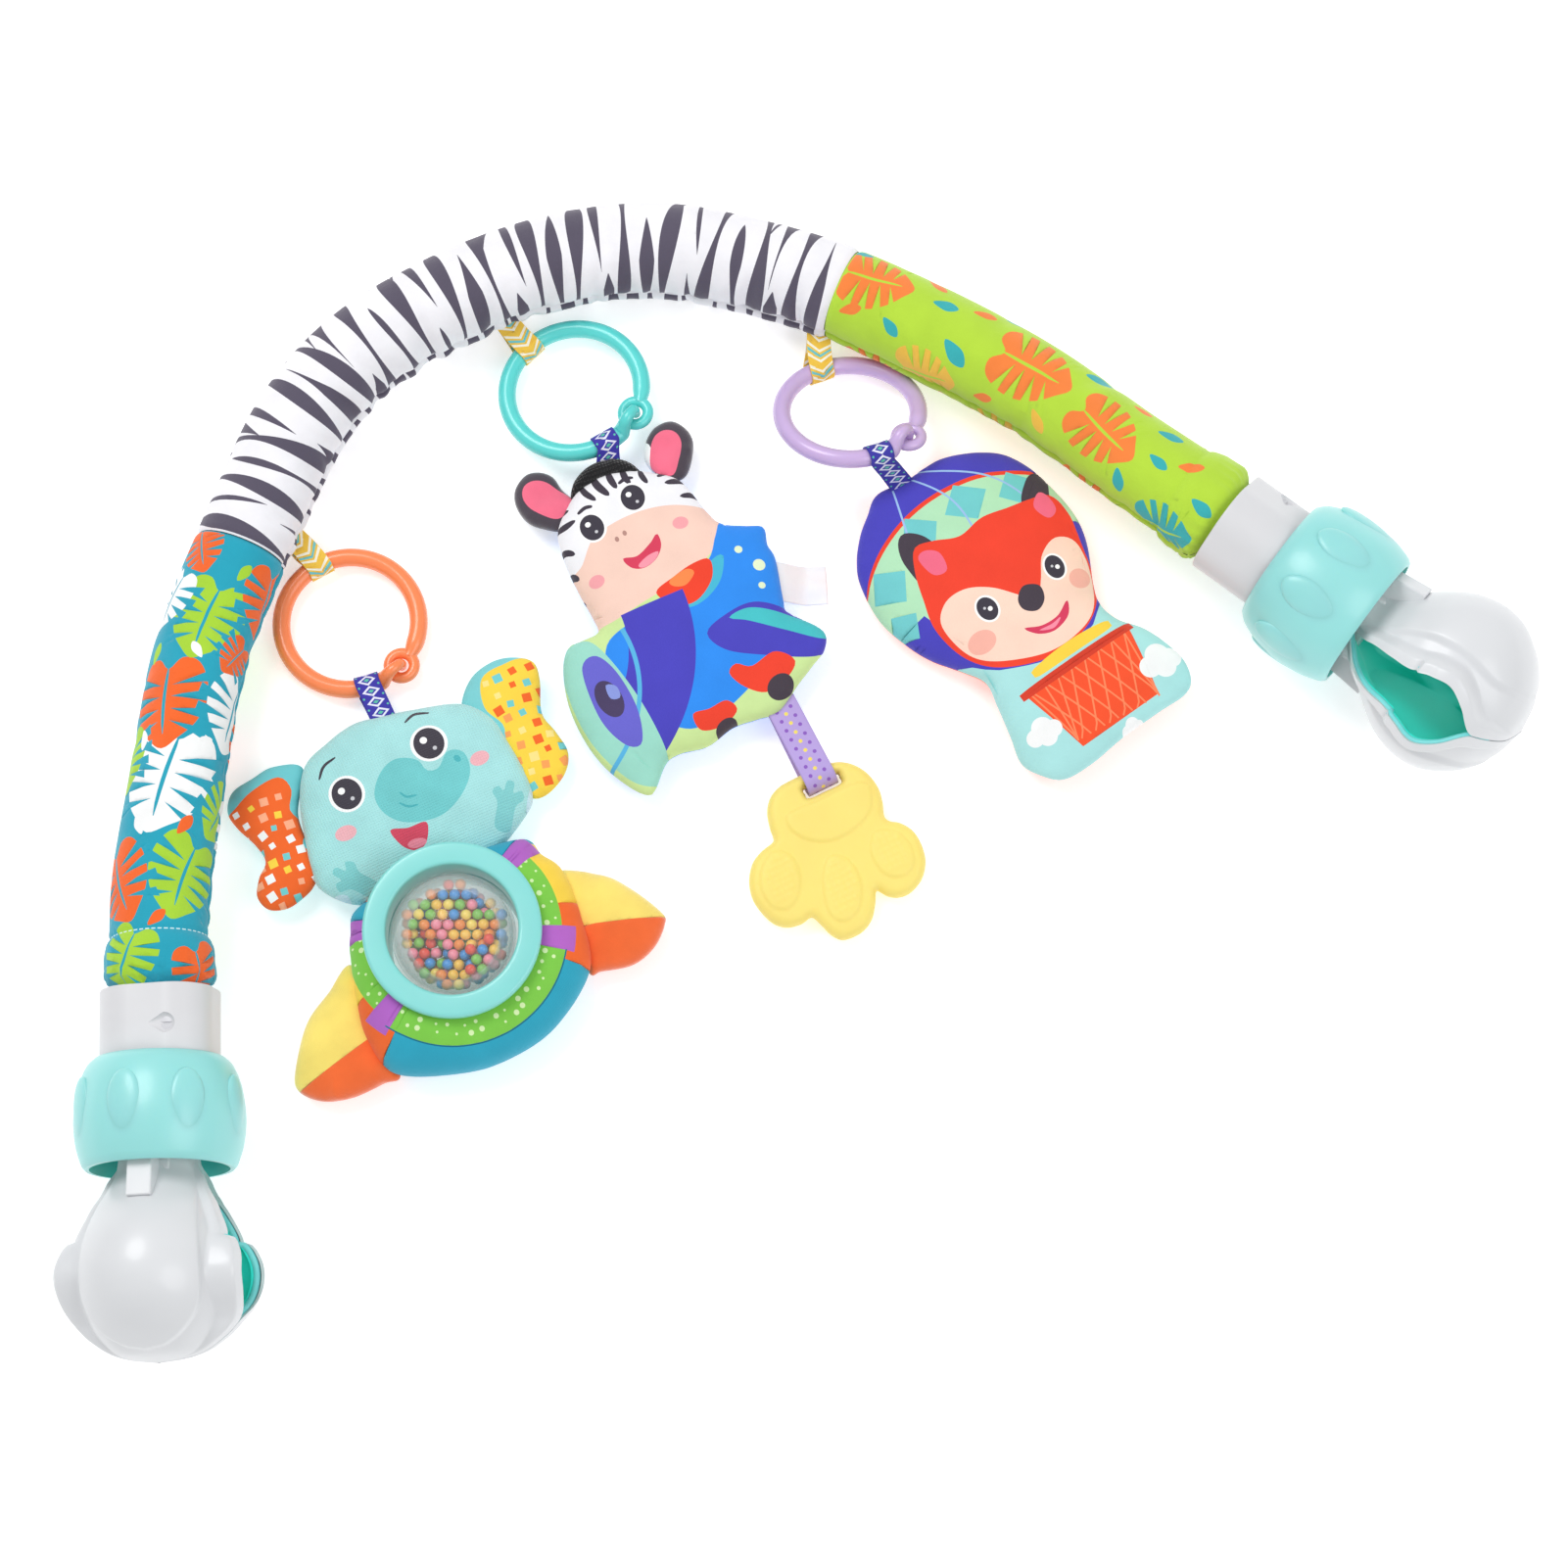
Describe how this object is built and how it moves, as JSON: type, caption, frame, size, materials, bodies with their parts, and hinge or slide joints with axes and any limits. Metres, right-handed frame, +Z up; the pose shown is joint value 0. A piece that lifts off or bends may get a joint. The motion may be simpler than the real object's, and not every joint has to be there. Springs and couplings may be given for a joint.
{
  "type": "stroller hanging toy",
  "caption": "Padded fabric arch with screw-ring jaw clamps at both ends and soft animal toys hanging from it on plastic link rings, one with a bead rattle, one with a teether.",
  "frame": {"origin": "on the floor under the middle of the bounding box of the toy laid flat", "axes": "+Z up, away from the floor; +Y towards the crown of the arch, +X towards the end with the lime sleeve"},
  "size_m": [0.6, 0.4952, 0.0803],
  "materials": {
    "steel_wire": "drawn",
    "foam": "open-cell foam",
    "turquoise_leaf_print": "printed plain weave",
    "zebra_print": "printed plain weave",
    "lime_leaf_print": "printed plain weave",
    "chevron_ribbon": "printed ribbon",
    "pale_grey_plastic": "fine satin",
    "grey_gloss_plastic": "smooth",
    "aqua_rubber": "soft matt",
    "screw_plastic": "smooth",
    "steel_pin": "ground",
    "aqua_plastic": "satin gloss",
    "orange_plastic": "gloss",
    "turquoise_plastic": "gloss",
    "lilac_plastic": "gloss",
    "diamond_ribbon": "printed ribbon",
    "aqua_plush": "short plush",
    "orange_confetti_cotton": "printed cotton",
    "yellow_confetti_cotton": "printed cotton",
    "teal_cotton": "printed cotton",
    "orange_velvet": "velvet",
    "bezel_plastic": "satin gloss",
    "clear_plastic": "clear, polished",
    "bead_plastic": "mixed bright colours",
    "zebra_cotton": "printed cotton",
    "plum_velvet": "velvet",
    "black_plush": "plush",
    "white_satin": "satin",
    "lilac_ribbon": "printed ribbon",
    "yellow_silicone": "soft satin",
    "fox_cotton": "printed cotton"
  },
  "bodies": {
    "arch": {"arch_wire": "steel_wire", "foam_core": "foam", "sleeve_left": "turquoise_leaf_print", "sleeve_middle": "zebra_print", "sleeve_right": "lime_leaf_print", "arch_loop_orange": "chevron_ribbon", "arch_loop_aqua": "chevron_ribbon", "arch_loop_lilac": "chevron_ribbon", "collar_left": "pale_grey_plastic", "anchor_plug_left": "pale_grey_plastic", "anchor_screw_left": "screw_plastic", "collar_right": "pale_grey_plastic", "anchor_plug_right": "pale_grey_plastic", "anchor_screw_right": "screw_plastic"},
    "ring_orange": {"link_ring_orange": "orange_plastic"},
    "ring_aqua": {"link_ring_aqua": "turquoise_plastic"},
    "ring_lilac": {"link_ring_lilac": "lilac_plastic"},
    "elephant": {"elephant_loop": "diamond_ribbon", "elephant_head": "aqua_plush", "elephant_ear_left": "orange_confetti_cotton", "elephant_ear_right": "yellow_confetti_cotton", "elephant_body": "teal_cotton", "elephant_fin_left": "orange_velvet", "elephant_fin_right": "orange_velvet", "bezel_front": "bezel_plastic", "bezel_back": "bezel_plastic"},
    "rattle_ball": {"ball_front": "clear_plastic", "ball_back": "clear_plastic", "rattle_beads": "bead_plastic"},
    "zebra": {"zebra_loop": "diamond_ribbon", "zebra_pillow": "zebra_cotton", "zebra_ear_left": "plum_velvet", "zebra_ear_right": "plum_velvet", "zebra_cap": "black_plush", "side_tag": "white_satin", "teether_tab": "lilac_ribbon"},
    "teether": {"teether": "yellow_silicone"},
    "fox": {"fox_loop": "diamond_ribbon", "fox_pillow": "fox_cotton"},
    "lock_ring_left": {"lock_ring_left": "aqua_plastic"},
    "carrier_left": {"jaw_carrier_left": "pale_grey_plastic", "pin_upper_left": "steel_pin", "pin_lower_left": "steel_pin"},
    "jaw_upper_left": {"jaw_upper_left": "grey_gloss_plastic", "liner_upper_left": "aqua_rubber"},
    "jaw_lower_left": {"jaw_lower_left": "grey_gloss_plastic", "liner_lower_left": "aqua_rubber"},
    "lock_ring_right": {"lock_ring_right": "aqua_plastic"},
    "carrier_right": {"jaw_carrier_right": "pale_grey_plastic", "pin_upper_right": "steel_pin", "pin_lower_right": "steel_pin"},
    "jaw_upper_right": {"jaw_upper_right": "grey_gloss_plastic", "liner_upper_right": "aqua_rubber"},
    "jaw_lower_right": {"jaw_lower_right": "grey_gloss_plastic", "liner_lower_right": "aqua_rubber"}
  },
  "joints": [
    {"name": "swing_orange", "type": "hinge", "parent": "arch", "child": "ring_orange", "pos_m": [-0.20809, 0.09237, 0.0061], "axis": [-0.8746, -0.4848, 0], "range_deg": [-75, 0]},
    {"name": "swing_aqua", "type": "hinge", "parent": "arch", "child": "ring_aqua", "pos_m": [-0.12093, 0.18919, 0.0061], "axis": [-0.7071, -0.7071, 0], "range_deg": [-75, 45]},
    {"name": "swing_lilac", "type": "hinge", "parent": "arch", "child": "ring_lilac", "pos_m": [0.00345, 0.1789, 0.00758], "axis": [-0.891, -0.4008, 0.2131], "range_deg": [-75, 0]},
    {"name": "swing_elephant", "type": "hinge", "parent": "ring_orange", "child": "elephant", "pos_m": [-0.18563, 0.03946, 0.0061], "axis": [-0.9563, -0.2924, 0], "range_deg": [-75, 15]},
    {"name": "swing_zebra", "type": "hinge", "parent": "ring_aqua", "child": "zebra", "pos_m": [-0.08643, 0.14411, 0.01401], "axis": [-0.8642, -0.5018, -0.036], "range_deg": [-69, 60]},
    {"name": "swing_fox", "type": "hinge", "parent": "ring_lilac", "child": "fox", "pos_m": [0.02832, 0.13285, 0.03206], "axis": [-0.9135, -0.3591, 0.1909], "range_deg": [-60, 28]},
    {"name": "spin_ball", "type": "hinge", "parent": "elephant", "child": "rattle_ball", "pos_m": [-0.14646, -0.07126, 0.0263], "axis": [0.9063, 0.4226, 0], "continuous": true},
    {"name": "swing_teether", "type": "hinge", "parent": "zebra", "child": "teether", "pos_m": [0.00241, 0.00037, 0.0078], "axis": [-0.891, -0.454, 0], "range_deg": [-85, 85]},
    {"name": "turn_ring_left", "type": "hinge", "parent": "arch", "child": "lock_ring_left", "pos_m": [-0.26365, -0.09764, 0.03907], "axis": [0.0314, -0.9995, 0], "range_deg": [0, 540]},
    {"name": "slide_carrier_left", "type": "slide", "parent": "arch", "child": "carrier_left", "axis": [0.0314, -0.9995, 0], "range_m": [0, 0.006]},
    {"name": "open_upper_left", "type": "hinge", "parent": "carrier_left", "child": "jaw_upper_left", "pos_m": [-0.26298, -0.16165, 0.04595], "axis": [-0.9811, -0.0308, -0.1908], "range_deg": [0, 14]},
    {"name": "open_lower_left", "type": "hinge", "parent": "carrier_left", "child": "jaw_lower_left", "pos_m": [-0.26031, -0.16157, 0.0322], "axis": [0.9811, 0.0308, 0.1908], "range_deg": [0, 14]},
    {"name": "turn_ring_right", "type": "hinge", "parent": "arch", "child": "lock_ring_right", "pos_m": [0.17195, 0.1016, 0.04015], "axis": [0.7955, -0.606, 0], "range_deg": [0, 540]},
    {"name": "slide_carrier_right", "type": "slide", "parent": "arch", "child": "carrier_right", "axis": [0.7955, -0.606, 0], "range_m": [0, 0.006]},
    {"name": "open_upper_right", "type": "hinge", "parent": "carrier_right", "child": "jaw_upper_right", "pos_m": [0.22606, 0.06702, 0.04474], "axis": [-0.3976, -0.5219, 0.7547], "range_deg": [0, 14]},
    {"name": "open_lower_right", "type": "hinge", "parent": "carrier_right", "child": "jaw_lower_right", "pos_m": [0.21966, 0.05861, 0.03556], "axis": [0.3976, 0.5219, -0.7547], "range_deg": [0, 14]}
  ],
  "couplings": [
    {"joint": "slide_carrier_left", "follows": "turn_ring_left", "m_per_rad": 0.00063662},
    {"joint": "open_upper_left", "follows": "turn_ring_left", "ratio": 0.025926},
    {"joint": "open_lower_left", "follows": "turn_ring_left", "ratio": 0.025926},
    {"joint": "slide_carrier_right", "follows": "turn_ring_right", "m_per_rad": 0.00063662},
    {"joint": "open_upper_right", "follows": "turn_ring_right", "ratio": 0.025926},
    {"joint": "open_lower_right", "follows": "turn_ring_right", "ratio": 0.025926}
  ]
}
